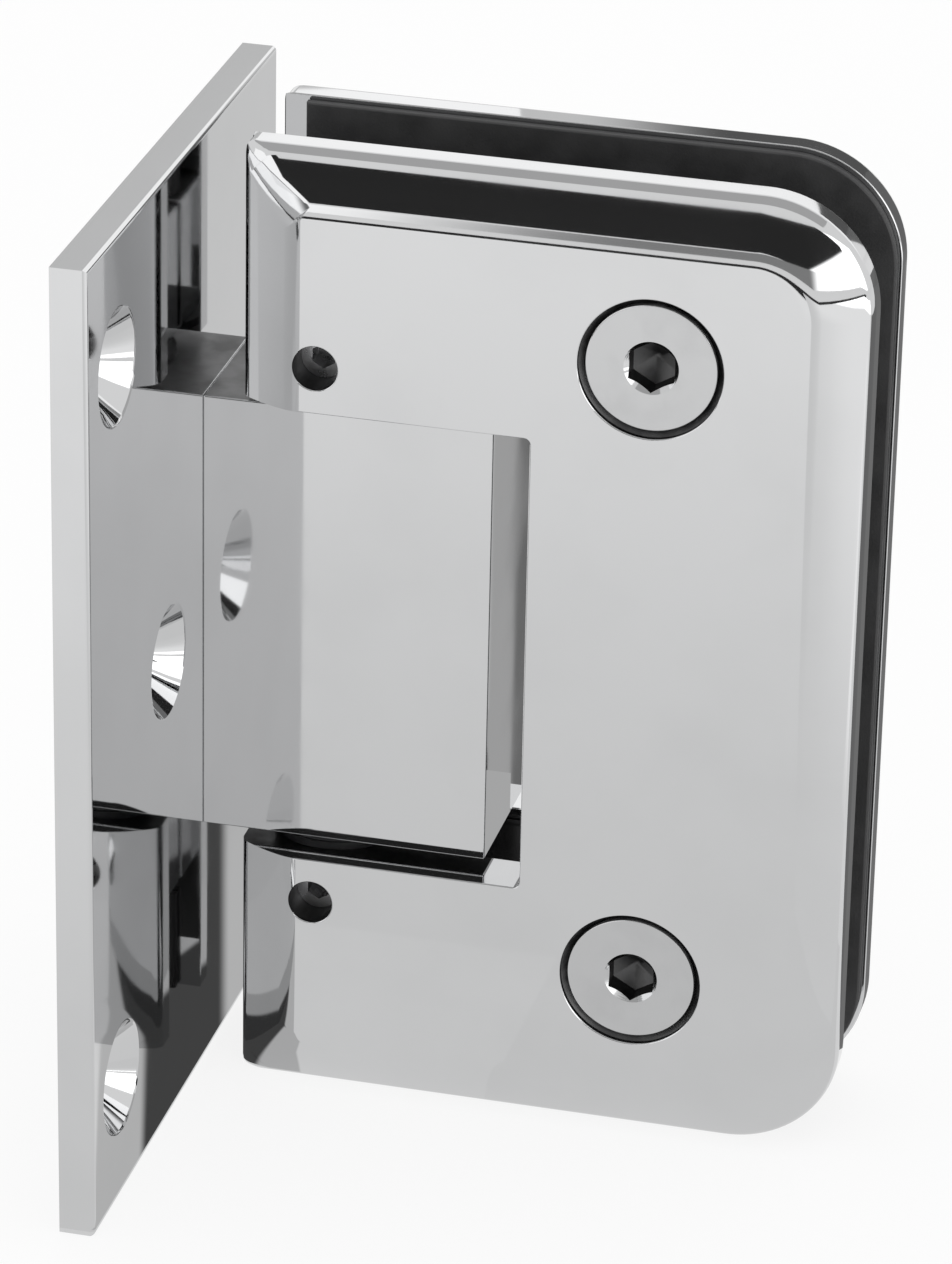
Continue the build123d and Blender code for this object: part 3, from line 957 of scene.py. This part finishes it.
CARDS = [
    Card("dark_card", BEVEL_MIDDLE + towards(6.5, 24.6) * 0.8, (1.1, 0.37), 0.03, BEVEL_MIDDLE, -12.0,
         along=(0.5, 0.0, -0.866), changes=((0.015, 0.045, 1.9),)),
    Card("right_glow", CORNER + towards(58.0, 16.0) * 1.15, (1.3, 0.75), 2.2, CORNER),
    Card("left_glow", CORNER + towards(-40.0, 13.0) * 1.15, (0.85, 0.66), 1.45, CORNER),
    Card("horizon_card", Vector((0.0, -1.3, 0.115)), (3.6, 0.37), 1.45, Vector((0.0, 0.0, 0.115)),
         changes=((-0.33, -0.22, 0.3), (0.5, 0.7, 2.3))),
    Card("table_line", Vector((0.0, -0.38, FLOOR_Z + 0.0004)), (1.6, 0.13), 0.03),
    Card("front_floor", Vector((-0.1, -0.152, FLOOR_Z + 0.0004)), (0.4, 0.296), 0.85,
         along=(0.0, -1.0, 0.0), changes=((0.02, 0.26, 1.12),)),
    Card("right_floor", Vector((0.34, -0.2, FLOOR_Z + 0.0006)), (0.52, 0.36), 0.88,
         changes=((0.085, 0.21, 1.16), (0.3, 0.33, 2.3))),
    Card("bevel_floor", Vector((0.18, -0.046, FLOOR_Z + 0.0008)), (0.12, 0.026), 0.98, roll=-12.0,
         changes=((0.12, 0.15, 1.24),)),
    Card("floor_shade", Vector((0.05, 0.26, FLOOR_Z + 0.0004)), (0.5, 0.5), 0.76,
         along=(1.0, -0.2364, 0.0),
         changes=((0.024, 0.026, 0.17), (0.0284, 0.0288, 0.44), (0.04, 0.046, 0.19))),
    Card("foot_shade", Vector((0.009, 0.015, FLOOR_Z + 0.0006)), (0.042, 0.11), 0.6,
         along=(1.0, -0.2926, 0.0),
         changes=((0.0027, 0.0039, 0.07), (0.0104, 0.0112, 0.6), (0.0149, 0.0152, 0.88))),
    Card("left_grey", Vector((-0.53, 0.6, 0.32)), (0.88, 0.5), 0.70, Vector((-0.53, 0.0, 0.32)),
         along=(1.0, 0.0, 0.76), changes=((0.0415, 0.0455, 1.32),)),
    Card("back_white", Vector((0.2, 0.95, 0.5)), (1.5, 0.66), 1.32, Vector((0.2, 0.0, 0.3))),
    Card("rear_flag", Vector((0.0515, 0.06, 0.0598)), (0.073, 0.0195), 0.75, Vector((0.0515, 0.0, 0.0598)),
         changes=((0.02, 0.036, 0.12),)),
    Card("corner_flag", Vector((0.0707, 0.03, 0.0385)), (0.0095, 0.021), 0.17, Vector((0.0707, 0.0, 0.0385))),
    Card("slot_glow", Vector((0.0327, 0.0034, -0.0256)), (0.0066, 0.0168), 0.5,
         Vector((0.0327, -0.1, -0.0256))),
    Card("ceiling_grey", Vector((0.0, 0.0, 0.95)), (1.5, 1.3), 0.55),
]


class HINGE_OT_stage(bpy.types.Operator):
    """Sets up the floor, the soft studio light and the camera"""

    bl_idname = "hinge.stage"
    bl_label = "Stage"

    def execute(self, context):
        settings = context.scene.hinge_stage
        context.scene.view_settings.view_transform = "Standard"
        self.add_room(context.scene, settings)
        self.add_floor(settings)
        self.add_lights(settings)
        self.add_cards()
        self.add_camera(context.scene)
        return {"FINISHED"}

    def add_room(self, scene, settings):
        scene.world = bpy.data.worlds.new("white_room")
        scene.world.use_nodes = True
        tree = scene.world.node_tree
        tree.nodes.clear()
        plain = add_node(
            tree, "ShaderNodeBackground", {"Color": (1, 1, 1, 1), "Strength": settings.room_light})
        white = add_node(tree, "ShaderNodeBackground", {"Color": (1, 1, 1, 1), "Strength": 1.0})
        mixed = add_node(tree, "ShaderNodeMixShader", {"Fac": seen_by_mirrors(tree)})
        tree.links.new(plain.outputs[0], mixed.inputs[1])
        tree.links.new(white.outputs[0], mixed.inputs[2])
        add_node(tree, "ShaderNodeOutputWorld", {"Surface": mixed.outputs[0]})

    def add_floor(self, settings):
        select_none()
        bpy.ops.mesh.primitive_plane_add(size=FLOOR_SIZE, location=(0, 0, FLOOR_Z - FLOOR_GAP))
        floor = settle("pale_floor")
        material = bpy.data.materials.new("pale_floor")
        material.use_nodes = True
        tree = material.node_tree
        shader = tree.nodes["Principled BSDF"]
        shader.inputs["Base Color"].default_value = (*settings.floor_colour, 1.0)
        shader.inputs["Roughness"].default_value = 1.0
        shader.inputs["Specular IOR Level"].default_value = 0.0
        glow = add_node(tree, "ShaderNodeEmission", {"Color": (1, 1, 1, 1), "Strength": 1.0})
        share = add_node(
            tree, "ShaderNodeMath", {0: seen_by_mirrors(tree), 1: settings.floor_glow}, operation="MULTIPLY")
        mixed = add_node(tree, "ShaderNodeMixShader", {"Fac": share.outputs[0]})
        tree.links.new(shader.outputs[0], mixed.inputs[1])
        tree.links.new(glow.outputs[0], mixed.inputs[2])
        tree.links.new(mixed.outputs[0], tree.nodes["Material Output"].inputs["Surface"])
        floor.data.materials.append(material)

    def add_lights(self, settings):
        for name, place, size, strength in (
            ("top_softbox", Vector((0.1, -0.05, 1.1)), (1.3, 1.1), settings.top_light),
            ("back_softbox", Vector((-0.15, 1.15, 0.52)), (1.5, 0.7), settings.back_light),
        ):
            select_none()
            bpy.ops.object.light_add(type="AREA", location=place)
            lamp = bpy.context.object
            lamp.name = name
            lamp.rotation_euler = facing(place, Vector((0.03, 0.0, 0.0)))
            lamp.data.shape = "RECTANGLE"
            lamp.data.size, lamp.data.size_y = size
            lamp.data.energy = strength * math.pi * size[0] * size[1]
            lamp.visible_glossy = False

    def add_cards(self):
        """The studio that the chrome mirrors: plain cards that only mirrors see."""
        for row in CARDS:
            select_none()
            bpy.ops.mesh.primitive_plane_add(size=1.0)
            card = bpy.context.object
            card.scale = (*row.size, 1.0)
            turn = facing(row.middle, row.aim or row.middle - AXES["Z"]).to_matrix()
            card.rotation_euler = (turn @ Matrix.Rotation(math.radians(row.roll), 3, "Z")).to_euler()
            card.location = row.middle
            card = settle(row.name)
            material = bpy.data.materials.new(row.name)
            material.use_nodes = True
            tree = material.node_tree
            tone = changing_tone(tree, row.tone, row.along, row.changes)
            glow = add_node(tree, "ShaderNodeEmission", {"Color": (1, 1, 1, 1), "Strength": tone})
            tree.links.new(glow.outputs[0], tree.nodes["Material Output"].inputs["Surface"])
            card.data.materials.append(material)
            card.visible_camera = False
            card.visible_diffuse = False
            card.visible_shadow = False

    def add_camera(self, scene):
        away = towards(CAMERA_AZIMUTH, CAMERA_ELEVATION)
        right = away.cross(Vector((0, 0, -1))).normalized()
        up = away.cross(right)
        roll = math.radians(CAMERA_ROLL)
        right, up = (
            math.cos(roll) * right + math.sin(roll) * up,
            math.cos(roll) * up - math.sin(roll) * right)
        turn = Matrix((right, up, away)).transposed()
        select_none()
        bpy.ops.object.camera_add(location=CAMERA_TARGET + away * CAMERA_DISTANCE, rotation=turn.to_euler())
        camera = bpy.context.object
        camera.name = "studio_camera"
        camera.data.sensor_fit = "HORIZONTAL"
        camera.data.sensor_width = SENSOR_WIDTH
        camera.data.lens = CAMERA_LENS
        camera.data.clip_start = 0.01
        scene.camera = camera


class HINGE_PT_panel(bpy.types.Panel):
    """Lists the hinge's sizes and its building steps"""

    bl_idname = "HINGE_PT_panel"
    bl_label = "Door hinge"
    bl_space_type = "VIEW_3D"
    bl_region_type = "UI"
    bl_category = "Door hinge"

    def draw(self, context):
        for title, name, operator in PANEL_ROWS:
            box = self.layout.box()
            box.label(text=title)
            if name:
                group = getattr(context.scene, name)
                for key in group.__annotations__:
                    box.prop(group, key)
            box.operator(operator)


PANEL_ROWS = [
    ("Clamp plates", "hinge_clamp", "hinge.clamp_plates"),
    ("Wall plate", "hinge_wall", "hinge.wall_plate"),
    ("Pivot block", "hinge_block", "hinge.pivot_block"),
    ("Clamp screws", "hinge_screws", "hinge.clamp_screws"),
    ("Gaskets", None, "hinge.gaskets"),
    ("Inner pieces", "hinge_chrome", "hinge.inner_pieces"),
    ("Stage", "hinge_stage", "hinge.stage"),
]

SETTINGS = {
    "hinge_clamp": ClampSizes,
    "hinge_wall": WallPlateSizes,
    "hinge_block": BlockSizes,
    "hinge_screws": ScrewSizes,
    "hinge_chrome": ChromeFinish,
    "hinge_stage": StageSettings,
}

CLASSES = [
    *SETTINGS.values(),
    HINGE_OT_clamp_plates,
    HINGE_OT_wall_plate,
    HINGE_OT_pivot_block,
    HINGE_OT_clamp_screws,
    HINGE_OT_gaskets,
    HINGE_OT_inner_pieces,
    HINGE_OT_stage,
    HINGE_PT_panel,
]


def register():
    for cls in CLASSES:
        bpy.utils.register_class(cls)
    for name, group in SETTINGS.items():
        setattr(bpy.types.Scene, name, bpy.props.PointerProperty(type=group))


def unregister():
    for name in SETTINGS:
        delattr(bpy.types.Scene, name)
    for cls in reversed(CLASSES):
        bpy.utils.unregister_class(cls)


def main():
    register()
    for _, _, operator in PANEL_ROWS:
        group, name = operator.split(".")
        getattr(getattr(bpy.ops, group), name)()


if __name__ == "__main__":
    main()
